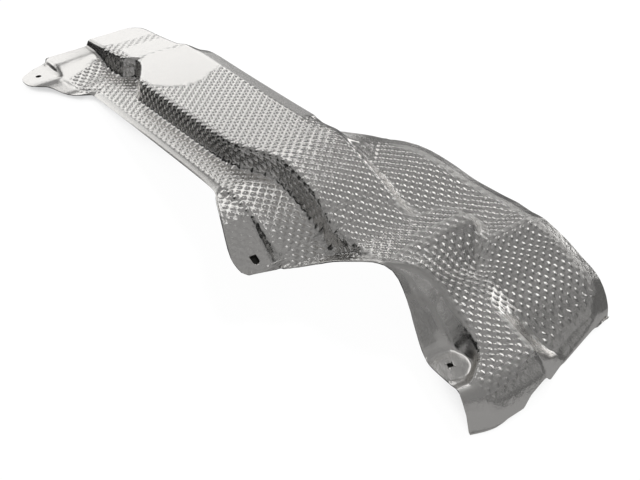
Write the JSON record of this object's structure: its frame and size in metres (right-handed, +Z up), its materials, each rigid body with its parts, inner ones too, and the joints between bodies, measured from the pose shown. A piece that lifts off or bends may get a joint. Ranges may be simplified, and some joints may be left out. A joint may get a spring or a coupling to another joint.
{
  "type": "heat shield",
  "caption": "Long stamped heat shield of dimpled aluminium sheet, stepped and ramped, with a holed ear, a slotted tab and a boss pad at a rolled nose.",
  "frame": {"origin": "middle of the resting part's box, on the ground that it rests on", "axes": "+X along the body from the holed ear to the rolled nose, +Y towards the wide ledge, +Z up from the ground"},
  "size_m": [0.69, 0.3052, 0.0864],
  "materials": {
    "embossed_sheet": "mill finish, embossed with small dimples"
  },
  "bodies": {
    "root": {"heat_shield": "embossed_sheet"}
  },
  "joints": []
}
